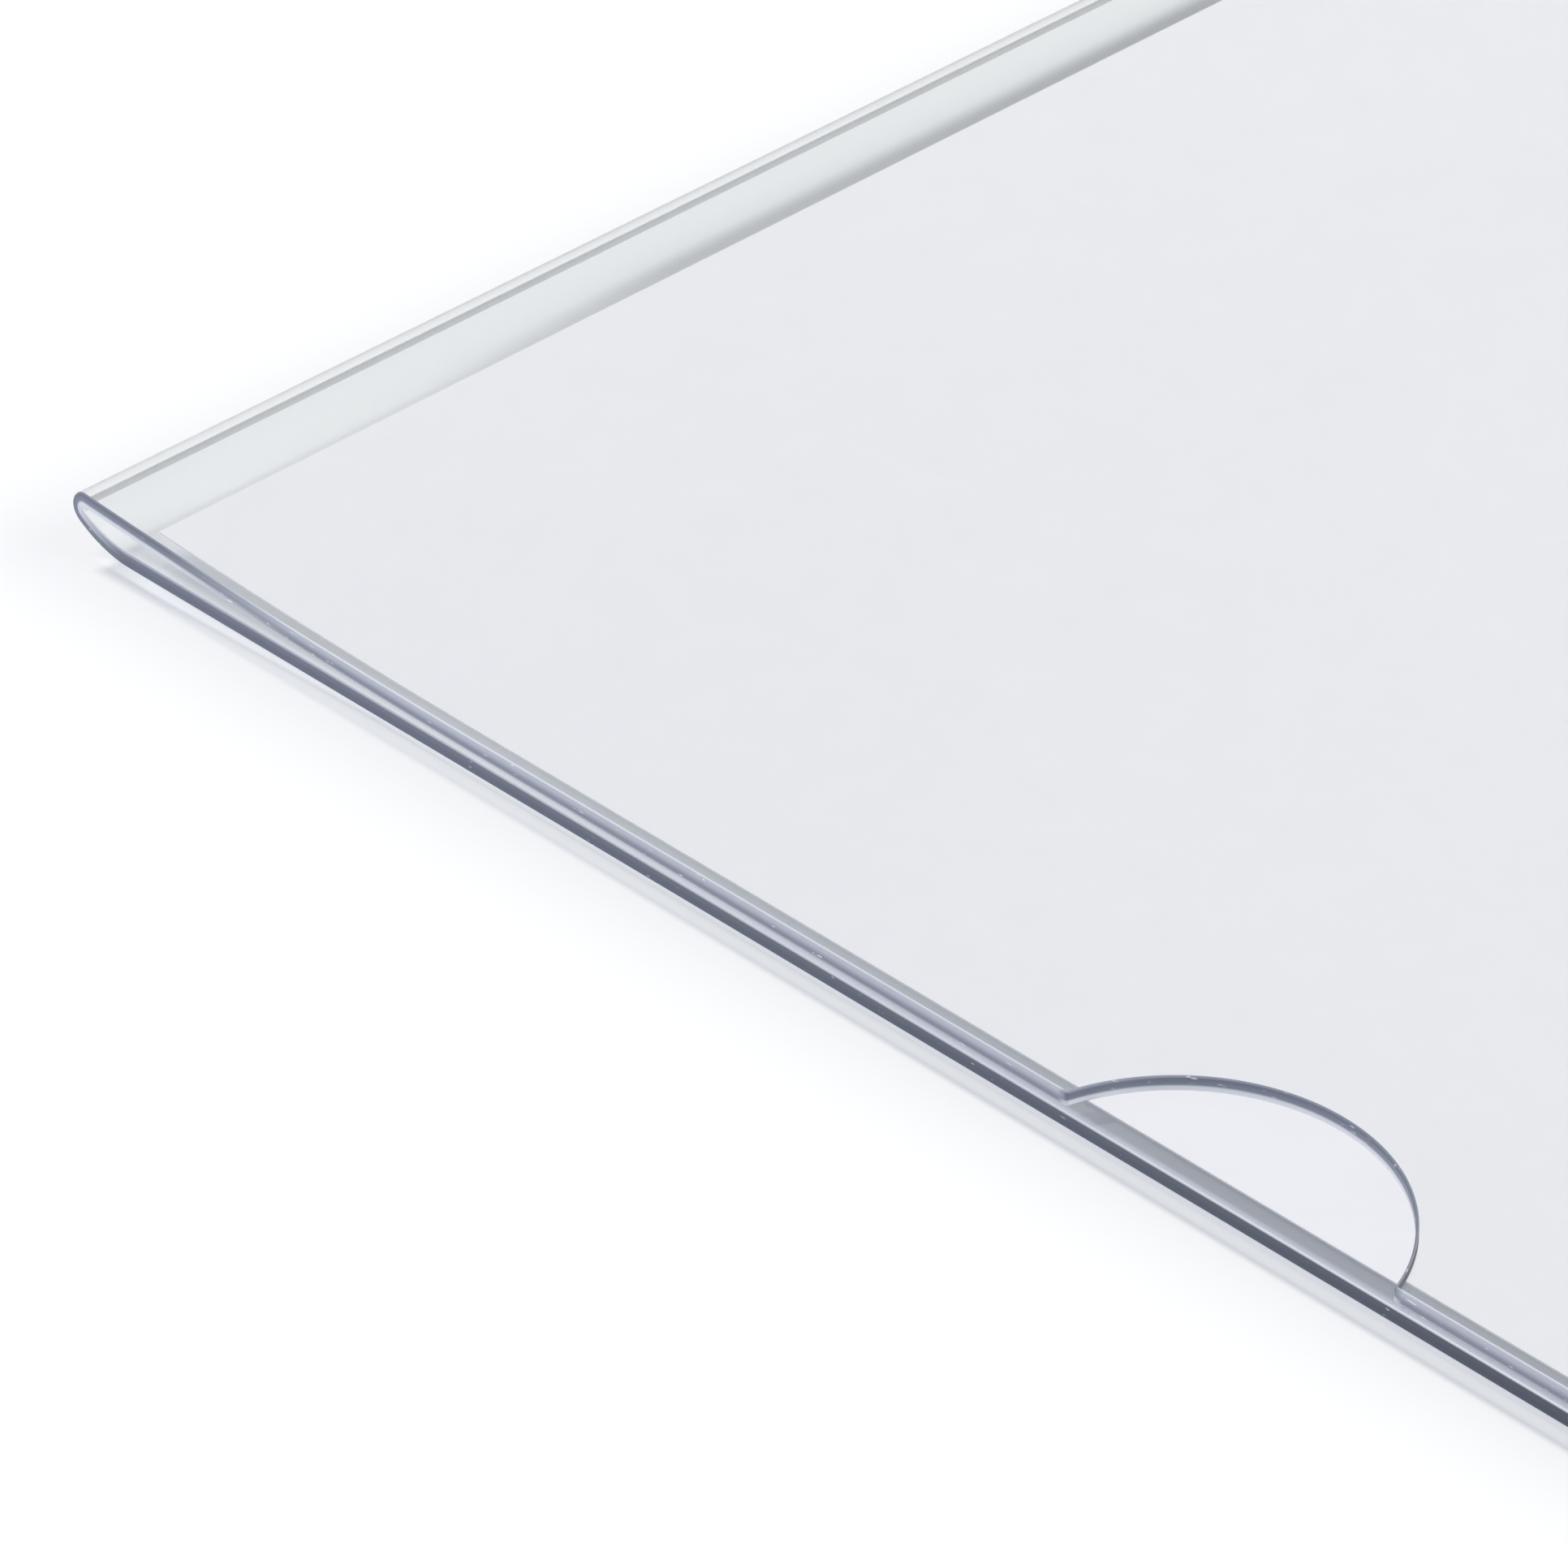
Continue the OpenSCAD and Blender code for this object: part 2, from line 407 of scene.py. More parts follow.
def cut_acrylic():
    """Acrylic's cut edge, sawn and wiped: satin and nicked white, with painted shade that makes it dark and
    painted highlights on its arrises, lighter on the front panel.
    """
    material = new_material("cut_acrylic_edge")
    tree = material.node_tree
    depth, share, far = (
        add_node(tree, "ShaderNodeAttribute", attribute_name=name).outputs["Fac"]
        for name in ("edge_depth", "front_share", "far_share")
    )
    back, front = (
        blend(tree, far, ramp_colour(tree, depth, near_stops), ramp_colour(tree, depth, far_stops))
        for near_stops, far_stops in ((BACK_NEAR_EDGE, BACK_FAR_EDGE), (FRONT_NEAR_EDGE, FRONT_FAR_EDGE))
    )
    plain = blend(tree, share, back, front)
    place = own_place(tree)
    marks = streaks(tree, place, SAW_MARKS, 3.0)
    # Nicks are more frequent on the front panel's edge.
    chips = math_node(tree, "MULTIPLY_ADD", share, 0.035, streaks(tree, place, NICKS, 2.0))
    nicked = rising(tree, chips, 0.72, 0.78)
    colour = blend(tree, nicked, plain, (*linear("#eef0f5"), 1))
    # Seen from within the sheet the edge gets a painted dark shade, in place of how dim it looks through the
    # sheet.
    within = add_node(tree, "ShaderNodeNewGeometry").outputs["Backfacing"]
    colour = blend(tree, within, colour, (*linear("#54565c"), 1))
    relief = bump(tree, marks, 0.3, 0.02 * MM)
    satin = add_node(
        tree,
        "ShaderNodeBsdfPrincipled",
        {"Base Color": colour, "Roughness": 0.35, "IOR": ACRYLIC_IOR, "Normal": relief},
    )
    # The back panel's edge holds back some of the lamp light, and more of it further from the fold.
    bent = product(tree, math_node(tree, "SUBTRACT", 1.0, share), far)
    past_heel = rising(tree, bent, 0.0, 0.02)
    let_by = blend(tree, past_heel, (0.99, 0.99, 0.995, 1), (*linear("#d2d4d8"), 1))
    let_by = blend(tree, rising(tree, bent, 0.1, 0.4), let_by, ramp_colour(tree, depth, BACK_EDGE_LIGHT))
    passing = add_node(tree, "ShaderNodeBsdfTransparent", {"Color": let_by})
    set_surface(tree, mix_shaders(tree, ray_share(tree, *LIGHT_RAYS), satin, passing))
    return material


def arc(centre, radius, start, end, steps):
    """Points along an arc in even steps, with the angles in radians."""
    turns = [start + (end - start) * i / steps for i in range(steps + 1)]
    return [(centre[0] + radius * math.cos(a), centre[1] + radius * math.sin(a)) for a in turns]


def lengths_along(points):
    """Distance along a line of points, at each of them."""
    lengths = [0.0]
    for a, b in zip(points, points[1:]):
        lengths.append(lengths[-1] + math.dist(a, b))
    return lengths


def slope_rise(pocket, x):
    """How far the front panel stands above its level stretch: it rises in a curve towards the nose."""
    slope_len = pocket.slope_run - pocket.nose_r - pocket.sheet_t
    return pocket.fold_rise * (max(POCKET_LOW.x + pocket.slope_run - x, 0) / slope_len) ** 2


def fold_path(pocket):
    """Middle of the sheet seen along the fold: front panel, slope, nose, heel and back panel, as (x, z)."""
    half_t = pocket.sheet_t / 2
    nose_mid_r = pocket.nose_r + half_t
    heel_mid_r = pocket.heel_r + half_t
    panels_h = 2 * pocket.sheet_t + pocket.gap
    left = POCKET_LOW.x
    right = POCKET_HIGH.x
    nose_reach = pocket.nose_r + pocket.sheet_t
    nose = (left + nose_reach, panels_h + pocket.fold_rise - nose_reach)
    heel_z = pocket.sheet_t + pocket.heel_r
    join = math.asin((heel_z - nose[1]) / (pocket.heel_r - pocket.nose_r))
    heel = (nose[0] + (pocket.heel_r - pocket.nose_r) * math.cos(join), heel_z)
    lean = math.atan(2 * pocket.fold_rise / (pocket.slope_run - nose_reach))
    slope_end = nose[0] + nose_mid_r * math.sin(lean)
    slope_start = left + pocket.slope_run
    slope = []
    stops = [slope_start + (slope_end - slope_start) * i / (SLOPE_STEPS - 1) for i in range(SLOPE_STEPS - 1)]
    for x in stops + [slope_end + CREASE_REACH]:
        slope.append((x, panels_h - half_t + slope_rise(pocket, x)))
    nose_arc = arc(nose, nose_mid_r, math.pi / 2 - lean, math.pi + join, NOSE_STEPS)
    heel_arc = arc(heel, heel_mid_r, math.pi + join, 1.5 * math.pi, HEEL_STEPS)
    return [(right, panels_h - half_t)] + slope + nose_arc + heel_arc[1:] + [(right, half_t)]


def flange_path(pocket):
    """Middle of the back panel and its flange seen along the bend, as (y, height above the panel)."""
    bend_mid_r = pocket.bend_r + pocket.sheet_t / 2
    bend_y = POCKET_HIGH.y - pocket.sheet_t - pocket.bend_r
    bend = arc((bend_y, bend_mid_r), bend_mid_r, -math.pi / 2, 0, BEND_STEPS)
    return [(POCKET_LOW.y, 0)] + bend + [(bend_y + bend_mid_r, POCKET_HIGH.z - pocket.sheet_t / 2)]


def blank_outlines(pocket, along, across):
    """Flat faces of the blank as it is cut before bending, as lists of (along, across) points."""
    total = along[-1]
    panel_w = SIGN_HIGH.y + pocket.wall_margin - POCKET_LOW.y
    r = pocket.corner_r
    quarter = math.pi / 2
    rows = [min(row[0], panel_w) for row in HEEL_SHADE]
    # Front panel up to its slope, with the thumb notch in its outer edge
    front_end = along[1]
    notch_centre = notch_middle(pocket)
    half_sweep = math.acos((pocket.notch_r - pocket.notch_depth) / pocket.notch_r)
    notch = arc(notch_centre, pocket.notch_r, quarter + half_sweep, quarter - half_sweep, NOTCH_STEPS)
    front = arc((r, r), r, 2 * quarter, 3 * quarter, CORNER_STEPS)
    front += [(notch[0][0] - 1 * MM, 0)] + notch + [(notch[-1][0] + 1 * MM, 0)]
    front += [(front_end, row) for row in rows]
    front += arc((r, panel_w - r), r, quarter, 2 * quarter, CORNER_STEPS)
    # Back panel from the heel to its free edge, with the fillet where the flange starts
    back_start = along[-2]
    bend_start = across[1]
    flange_start = back_start + pocket.flange_start - (heel_end_x(pocket) - POCKET_LOW.x)
    strip = pocket.flange_strip
    back = [(back_start, 0)]
    back += arc((total - r, r), r, 3 * quarter, 4 * quarter, CORNER_STEPS)
    back += [(total, bend_start)]
    back += arc((flange_start - strip, panel_w + strip), strip, 4 * quarter, 3 * quarter, CORNER_STEPS)
    back += [(back_start, row) for row in rows[:0:-1]]
    outlines = [front, back]
    # Strips across the slope, the nose and the heel, and along the flange's bend
    for a, b in zip(along[1:-2], along[2:-1]):
        outlines += [[(a, u), (b, u), (b, v), (a, v)] for u, v in zip(rows, rows[1:])]
    for a, b in zip(across[1:-2], across[2:-1]):
        outlines.append([(flange_start, a), (total, a), (total, b), (flange_start, b)])
    return outlines + flange_outlines(pocket, flange_start, total, across)


def heel_end_x(pocket):
    """Where the heel ends and the back panel starts."""
    return fold_path(pocket)[-2][0]


def flange_outlines(pocket, start, end, across):
    """The flange above its bend: two halves that meet on the line through the screw holes."""
    foot, tip = across[-2], across[-1]
    hole_r = SCREW_HOLES["dims"]["hole_r_mm"] * MM
    spacing = SCREW_HOLES["dims"]["spacing_x_mm"] * MM
    hole_line = tip - (POCKET_HIGH.z - SCREW_HOLES["pos_m"][2])
    middle = (start + end) / 2
    holes = [(middle + side * spacing / 2, hole_line) for side in (1, -1)]
    r = pocket.flange_corner_r
    quarter = math.pi / 2
    below = [(start, foot), (end, foot), (end, hole_line)]
    above = arc((end - r, tip - r), r, 0, quarter, CORNER_STEPS)
    above += arc((start + r, tip - r), r, quarter, 2 * quarter, CORNER_STEPS)
    above += [(start, hole_line)]
    for hole in holes:
        below += arc(hole, hole_r, 0, -2 * quarter, HOLE_STEPS // 2)
    below += [(start, hole_line)]
    for hole in reversed(holes):
        above += arc(hole, hole_r, 2 * quarter, 0, HOLE_STEPS // 2)
    above += [(end, hole_line)]
    return [below, above]


def blank_mesh(pocket, along, across):
    """The flat blank with its thickness, and marks on what is cut, creased, in front or shading."""
    mesh = bpy.data.meshes.new("blank")
    shape = bmesh.new()
    cut = shape.faces.layers.bool.new("cut_edge")
    crease = shape.faces.layers.bool.new("crease")
    half_t = pocket.sheet_t / 2
    nose_start = along[1 + SLOPE_STEPS]
    nose_end = along[1 + SLOPE_STEPS + NOSE_STEPS]
    heel_end = along[-2]
    for outline in blank_outlines(pocket, along, across):
        shape.faces.new([shape.verts.new((s, u, half_t)) for s, u in outline])
    bmesh.ops.remove_doubles(shape, verts=shape.verts, dist=WELD)
    rims = [e for e in shape.edges if e.is_boundary]
    inner = list(shape.faces)
    below = {v: shape.verts.new((v.co.x, v.co.y, -half_t)) for v in list(shape.verts)}
    for face in inner:
        face[crease] = nose_start - CREASE_REACH < face.calc_center_median().x < nose_end
        shape.faces.new([below[v] for v in reversed(face.verts)])
    for edge in rims:
        a, b = edge.link_loops[0].vert, edge.link_loops[0].link_loop_next.vert
        wall = shape.faces.new([b, a, below[a], below[b]])
        wall[cut] = True
    mark_places(shape, pocket, nose_start, nose_end, heel_end)
    for face in shape.faces:
        face.smooth = True
    shape.to_mesh(mesh)
    shape.free()
    return mesh


def mark_places(shape, pocket, nose_start, nose_end, heel_end):
    """Marks each corner of the blank with its depth in the sheet, its place and its shade on the table."""
    names = ("edge_depth", "front_share", "far_share", "heel_shade")
    depth, front_share, far_share, heel_shade = (shape.verts.layers.float.new(name) for name in names)
    notch_centre = notch_middle(pocket)
    for vert in shape.verts:
        along, across, height = vert.co
        vert[depth] = 0.5 - height / pocket.sheet_t
        from_nose = nose_start - along
        vert[front_share] = share_of(from_nose, -9 * MM, -1 * MM)
        vert[far_share] = share_of(from_nose, 12 * MM, 32 * MM)
        if math.dist((along, across), notch_centre) < pocket.notch_r + NEAR:
            vert[far_share] = 0.0
        if along > heel_end + NEAR:
            vert[far_share] = 1.0
        up_heel = heel_end - along
        if height < 0 < up_heel < heel_end - nose_end:
            line, rest = next(row[1:] for row in HEEL_SHADE if across < row[0] + NEAR)
            line *= math.sin(math.pi * share_of(up_heel, 0.5 * MM, 4.1 * MM))
            rest *= share_of(up_heel, 0, 1 * MM) * share_of(up_heel, 7 * MM, 4.5 * MM)
            vert[heel_shade] = max(line, rest)


def share_of(value, start, end):
    """How far a value is from a start to an end, held between 0 and 1."""
    return min(max((value - start) / (end - start), 0.0), 1.0)


def notch_middle(pocket):
    """Centre of the thumb notch on the blank."""
    return ((POCKET_HIGH.x - POCKET_LOW.x) / 2, pocket.notch_depth - pocket.notch_r)


def new_group(name, sockets):
    """An empty geometry node group with its inputs and one geometry output."""
    group = bpy.data.node_groups.new(name, "GeometryNodeTree")
    for socket, kind in sockets.items():
        group.interface.new_socket(socket, in_out="INPUT", socket_type=f"NodeSocket{kind}")
    group.interface.new_socket("Geometry", in_out="OUTPUT", socket_type="NodeSocketGeometry")
    return group


def bend_group():
    """Node group that bends a flat blank along a path: how far along Run picks the place on the path."""
    group = new_group("bend_along_path", {"Geometry": "Geometry", "Path": "Object", "Run": "Vector"})
    given = add_node(group, "NodeGroupInput").outputs
    path = add_node(group, "GeometryNodeObjectInfo", {"Object": given["Path"]})
    here = add_node(group, "GeometryNodeInputPosition").outputs[0]
    along = add_node(
        group, "ShaderNodeVectorMath", {0: here, 1: given["Run"]}, operation="DOT_PRODUCT"
    ).outputs["Value"]
    sample = add_node(
        group, "GeometryNodeSampleCurve", {"Curves": path.outputs["Geometry"], "Length": along}, mode="LENGTH"
    )
    height = split(group, here)["Z"]
    place = split(group, sample.outputs["Position"])
    tangent = split(group, sample.outputs["Tangent"])
    lean = math_node(group, "MULTIPLY", height, tangent["Z"])
    bent_run = math_node(group, "SUBTRACT", place["X"], lean)
    bent_height = math_node(group, "MULTIPLY_ADD", height, tangent["X"], place["Z"])
    run_shift = math_node(group, "SUBTRACT", bent_run, along)
    rise = math_node(group, "SUBTRACT", bent_height, height)
    sideways = add_node(
        group, "ShaderNodeVectorMath", {0: given["Run"], "Scale": run_shift}, operation="SCALE"
    ).outputs[0]
    upwards = add_node(group, "ShaderNodeCombineXYZ", {"Z": rise}).outputs[0]
    shift = vector_node(group, "ADD", sideways, upwards)
    moved = add_node(group, "GeometryNodeSetPosition", {"Geometry": given["Geometry"], "Offset": shift})
    add_node(group, "NodeGroupOutput", {"Geometry": moved.outputs[0]})
    return group


def pocket_tree():
    """Node tree that bends the blank twice: up into the wall flange, then over into the pocket."""
    sockets = {
        "Geometry": "Geometry",
        "Flange path": "Object",
        "Fold path": "Object",
        "Face finish": "Material",
        "Edge finish": "Material",
        "Crease finish": "Material",
    }
    tree = new_group("bent_acrylic_sheet", sockets)
    bend = bend_group()
    given = add_node(tree, "NodeGroupInput").outputs
    shape = given["Geometry"]
    for path, run in (("Flange path", (0, 1, 0)), ("Fold path", (1, 0, 0))):
        step = add_node(tree, "GeometryNodeGroup", node_tree=bend)
        tree.links.new(shape, step.inputs["Geometry"])
        tree.links.new(given[path], step.inputs["Path"])
        step.inputs["Run"].default_value = run
        shape = step.outputs[0]
    solid = add_node(tree, "GeometryNodeRealizeInstances", {"Geometry": shape}).outputs[0]
    finished = add_node(
        tree, "GeometryNodeSetMaterial", {"Geometry": solid, "Material": given["Face finish"]}
    ).outputs[0]
    for mark, finish in (("cut_edge", "Edge finish"), ("crease", "Crease finish")):
        chosen = add_node(
            tree, "GeometryNodeInputNamedAttribute", {"Name": mark}, data_type="BOOLEAN"
        ).outputs["Attribute"]
        finished = add_node(
            tree,
            "GeometryNodeSetMaterial",
            {"Geometry": finished, "Selection": chosen, "Material": given[finish]},
        ).outputs[0]
    add_node(tree, "NodeGroupOutput", {"Geometry": finished})
    return tree


def set_inputs(modifier, values):
    """Sets a node modifier's inputs by name, through each socket's identifier."""
    sockets = {
        item.name: item.identifier
        for item in modifier.node_group.interface.items_tree
        if item.item_type == "SOCKET" and item.in_out == "INPUT"
    }
    for name, value in values.items():
        modifier[sockets[name]] = value


def path_object(name, points):
    """A straight-jointed curve through (run, height) points, for a sheet to bend along."""
    curve = bpy.data.curves.new(name, "CURVE")
    curve.dimensions = "3D"
    spline = curve.splines.new("POLY")
    spline.points.add(len(points) - 1)
    for point, (run, height) in zip(spline.points, points):
        point.co = (run, 0, height, 1)
    obj = bpy.data.objects.new(name, curve)
    bpy.context.scene.collection.objects.link(obj)
    return obj


def link_piece(name, mesh):
    """A new object at the origin, with its place in its mesh."""
    piece = bpy.data.objects.new(name, mesh)
    bpy.context.scene.collection.objects.link(piece)
    return piece


def apply_modifiers(piece):
    """Turns what the modifiers show into the piece's own plain mesh."""
    bpy.context.view_layer.update()
    shown = piece.evaluated_get(bpy.context.evaluated_depsgraph_get())
    mesh = bpy.data.meshes.new_from_object(shown)
    piece.modifiers.clear()
    piece.data = mesh
    mesh.name = piece.name


def round_arrises(piece, width, segments=3):
    """Takes the sharpness off every cut edge, and keeps the large faces optically flat."""
    bevel = piece.modifiers.new("arris", "BEVEL")
    bevel.width = width
    bevel.segments = segments
    bevel.limit_method = "ANGLE"
    bevel.angle_limit = SHARP_ANGLE
    bevel.harden_normals = True
    bevel.material = 1
    apply_modifiers(piece)


class OBJECT_OT_sign_holder_pocket(bpy.types.Operator):
    """Cuts the acrylic blank and bends it into the pocket and the wall flange"""

    bl_idname = "object.sign_holder_pocket"
    bl_label = "Bend Pocket"

    def execute(self, context):
        pocket = context.scene.sign_holder.pocket
        fold = fold_path(pocket)
        flange = flange_path(pocket)
        paths = [path_object("fold_path", fold), path_object("flange_path", flange)]
        mesh = blank_mesh(pocket, lengths_along(fold), lengths_along(flange))
        piece = link_piece("acrylic_pocket", mesh)
        bend = piece.modifiers.new("bends", "NODES")
        bend.node_group = pocket_tree()
        set_inputs(
            bend,
            {
                "Fold path": paths[0],
                "Flange path": paths[1],
                "Face finish": polished_acrylic(pocket),
                "Edge finish": cut_acrylic(),
                "Crease finish": creased_acrylic(),
            },
        )
        apply_modifiers(piece)
        for path in paths:
            bpy.data.objects.remove(path)
        round_arrises(piece, pocket.arris)
        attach(piece, "holder")
        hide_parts("folded_pocket")
        return {"FINISHED"}


def sheet_mesh(name, columns, rows, place):
    """A thin closed sheet: place gives each corner's point on the upper face (1) and the lower face (0)."""
    mesh = bpy.data.meshes.new(name)
    shape = bmesh.new()
    faces = []
    for side in (1, 0):
        grid = [[shape.verts.new(place(i, j, side)) for j in range(rows + 1)] for i in range(columns + 1)]
        for i in range(columns):
            for j in range(rows):
                corners = [grid[i][j], grid[i + 1][j], grid[i + 1][j + 1], grid[i][j + 1]]
                shape.faces.new(corners if side else corners[::-1])
        faces.append(grid)
    upper, lower = faces
    rim = [(i, 0) for i in range(columns)]
    rim += [(columns, j) for j in range(rows)]
    rim += [(i, rows) for i in range(columns, 0, -1)]
    rim += [(0, j) for j in range(rows, 0, -1)]
    for (i, j), (k, m) in zip(rim, rim[1:] + rim[:1]):
        shape.faces.new([lower[i][j], lower[k][m], upper[k][m], upper[i][j]])
    shape.to_mesh(mesh)
    shape.free()
    return mesh


def uncoated_paper(settings):
    """Uncoated printing paper: matt white, faintly cloudy from its pulp, with a fine fibre grain."""
    material = new_material("uncoated_paper")
    tree = material.node_tree
    place = own_place(tree)
    pulp = clouds(tree, place, 5 * MM, 4.0)
    pale = tuple(0.96 * c for c in settings.colour)
    colour = blend(tree, pulp, (*pale, 1), (*settings.colour, 1))
    grain = bump(tree, streaks(tree, place, FIBRES, 3.0), 0.35, 0.02 * MM)
    sheet = add_node(
        tree,
        "ShaderNodeBsdfPrincipled",
        {"Base Color": colour, "Roughness": 0.9, "Specular IOR Level": 0.2, "Normal": grain},
    )
    set_surface(tree, sheet)
    return material


class OBJECT_OT_sign_holder_sign(bpy.types.Operator):
    """Lays the blank paper sign in the pocket, where it follows the front panel up the fold"""

    bl_idname = "object.sign_holder_sign"
    bl_label = "Lay Sign"

    def execute(self, context):
        sign = context.scene.sign_holder.sign
        pocket = context.scene.sign_holder.pocket
        span = SIGN_HIGH - SIGN_LOW

        def place(i, j, side):
            x = SIGN_LOW.x + span.x * i / PAPER_COLUMNS
            y = SIGN_LOW.y + span.y * j / PAPER_ROWS
            lift = sign.wave * noise.noise(Vector((x / sign.wave_length, y / sign.wave_length, 0.3)))
            lift += slope_rise(pocket, x)
            return (x, y, SIGN_LOW.z + span.z * side + lift)

        piece = link_piece("paper_sign", sheet_mesh("paper_sign", PAPER_COLUMNS, PAPER_ROWS, place))
        piece.data.materials.append(uncoated_paper(sign))
        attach(piece, "sign")
        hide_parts("sign_sheet")
        return {"FINISHED"}


def foam_block(name, low, high):
    """A strip of foam with finely divided sides, marked where it was cut from the roll."""
    long_steps, layers, short_steps = (round(length / FOAM_STEP) for length in high - low)
    ring = [(low.x + (high.x - low.x) * i / long_steps, low.z) for i in range(long_steps)]
    ring += [(high.x, low.z + (high.z - low.z) * i / short_steps) for i in range(short_steps)]
    ring += [(high.x - (high.x - low.x) * i / long_steps, high.z) for i in range(long_steps)]
    ring += [(low.x, high.z - (high.z - low.z) * i / short_steps) for i in range(short_steps)]
    mesh = bpy.data.meshes.new(name)
    shape = bmesh.new()
    cut = shape.verts.layers.float.new("cut_side")
    loops = []
    for layer in range(layers + 1):
        y = low.y + (high.y - low.y) * layer / layers
        loops.append([shape.verts.new((x, y, z)) for x, z in ring])
        for vert in loops[-1]:
            vert[cut] = 1.0 if 0 < layer < layers else 0.0
    for near, far in zip(loops, loops[1:]):
        for i in range(len(ring)):
            k = (i + 1) % len(ring)
            shape.faces.new([near[i], near[k], far[k], far[i]])
    shape.faces.new(loops[0][::-1])
    shape.faces.new(loops[-1])
    bmesh.ops.recalc_face_normals(shape, faces=shape.faces)
    shape.to_mesh(mesh)
    shape.free()
    return mesh


def foam_tree():
    """Node tree that opens cut cells in the sides of a foam strip."""
    sockets = {"Geometry": "Geometry", "Cells per metre": "Float", "Cell depth": "Float", "Foam": "Material"}
    tree = new_group("cut_foam_cells", sockets)
    given = add_node(tree, "NodeGroupInput").outputs
    cells = add_node(tree, "ShaderNodeTexVoronoi", {"Scale": given["Cells per metre"]}, feature="F1")
    hollow = map_range(tree, cells.outputs["Distance"], (0.1, 0.6), (-1.0, 0.0))
    sides = add_node(tree, "GeometryNodeInputNamedAttribute", {"Name": "cut_side"}).outputs["Attribute"]
    reach = product(tree, hollow, sides, given["Cell depth"])
    normal = add_node(tree, "GeometryNodeInputNormal").outputs[0]
    dent = add_node(tree, "ShaderNodeVectorMath", {0: normal, "Scale": reach}, operation="SCALE").outputs[0]
    dented = add_node(tree, "GeometryNodeSetPosition", {"Geometry": given["Geometry"], "Offset": dent})
    solid = add_node(tree, "GeometryNodeRealizeInstances", {"Geometry": dented.outputs[0]})
    finished = add_node(
        tree, "GeometryNodeSetMaterial", {"Geometry": solid.outputs[0], "Material": given["Foam"]}
    )
    add_node(tree, "NodeGroupOutput", {"Geometry": finished.outputs[0]})
    return tree


def closed_cell_foam(settings):
    """Closed-cell foam under acrylic glue: matt off-white, speckled darker towards each cell's middle, which
    paints shade into the hollows of the cells cut open on its sides.
    """
    material = new_material("closed_cell_foam")
    tree = material.node_tree
    inputs = {"Vector": own_place(tree), "Scale": 1 / settings.cell}
    cells = add_node(tree, "ShaderNodeTexVoronoi", inputs, feature="F1").outputs["Distance"]
    # Painted shade: darker towards the middle of each cell
    dark = tuple(0.72 * c for c in settings.foam)
    colour = blend(tree, cells, (*dark, 1), (*settings.foam, 1))
    pits = bump(tree, cells, 0.5, 0.05 * MM)
    foam = add_node(
        tree, "ShaderNodeBsdfPrincipled", {"Base Color": colour, "Roughness": 0.85, "Normal": pits}
    )
    set_surface(tree, foam)
    return material


class OBJECT_OT_sign_holder_tapes(bpy.types.Operator):
    """Sticks the two strips of foam tape on the wall flange"""

    bl_idname = "object.sign_holder_tapes"
    bl_label = "Stick Tapes"

    def execute(self, context):
        tape = context.scene.sign_holder.tape
        foam = closed_cell_foam(tape)
        tree = foam_tree()
        for side in SIDES:
            low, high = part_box(f"{side}_tape")
            piece = link_piece(f"{side}_foam_tape", foam_block(f"{side}_foam_tape", low, high))
            cells = piece.modifiers.new("cells", "NODES")
            cells.node_group = tree
            set_inputs(
                cells, {"Cells per metre": 1 / tape.cell, "Cell depth": tape.cell_depth, "Foam": foam}
            )
            apply_modifiers(piece)
            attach(piece, "holder")
            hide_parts(f"{side}_tape")
        return {"FINISHED"}


def release_liner(settings):
    """Glassine release liner: honey-brown, dense and smooth, with a silicone sheen and faint pulp clouds."""
    material = new_material("glassine_release_liner")
    tree = material.node_tree
    pulp = clouds(tree, own_place(tree), 3 * MM, 5.0)
    dark = tuple(0.84 * c for c in settings.liner)
    colour = blend(tree, pulp, (*dark, 1), (*settings.liner, 1))
    sheen = map_range(tree, pulp, (0.0, 1.0), (0.28, 0.45))
    paper = add_node(
        tree, "ShaderNodeBsdfPrincipled", {"Base Color": colour, "Roughness": sheen, "Coat Weight": 0.2}
    )
    set_surface(tree, paper)
    return material


class OBJECT_OT_sign_holder_liners(bpy.types.Operator):
    """Covers each strip of tape with its release liner, whose half-round tab reaches past the tape"""

    bl_idname = "object.sign_holder_liners"
    bl_label = "Cover Tapes"

    def execute(self, context):
        tape = context.scene.sign_holder.tape
        material = release_liner(tape)
        for side, sign in zip(SIDES, (-1, 1)):
            low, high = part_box(f"{side}_liner")
            tape_low, tape_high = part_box(f"{side}_tape")
            half = (high.z - low.z) / 2
            middle = (high.z + low.z) / 2
            tape_end = tape_high.x if sign > 0 else tape_low.x
            far_end = tape_low.x if sign > 0 else tape_high.x

            def place(i, j, face):
                turn = max(i - LINER_COLUMNS, 0) / TAB_COLUMNS * math.radians(89)
                out = half * math.sin(turn)
                reach = half * math.cos(turn)
                x = far_end + (tape_end - far_end) * min(i / LINER_COLUMNS, 1) + sign * out
                z = middle - sign * reach * (2 * j / LINER_ROWS - 1)
                bend = tape.curl * (out / half) ** 2
                return (x, low.y + (high.y - low.y) * face - bend, z)

            name = f"{side}_release_liner"
            mesh = sheet_mesh(name, LINER_COLUMNS + TAB_COLUMNS, LINER_ROWS, place)
            mesh.materials.append(material)
            shade_smooth(mesh)
            piece = link_piece(name, mesh)
            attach(piece, f"{side}_liner")
            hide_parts(f"{side}_liner")
        return {"FINISHED"}


def shade_smooth(mesh):
    """Shades the faces smooth and leaves the cut rim crisp."""
    for face in mesh.polygons:
        face.use_smooth = True
    mesh.set_sharp_from_angle(angle=SHARP_ANGLE)


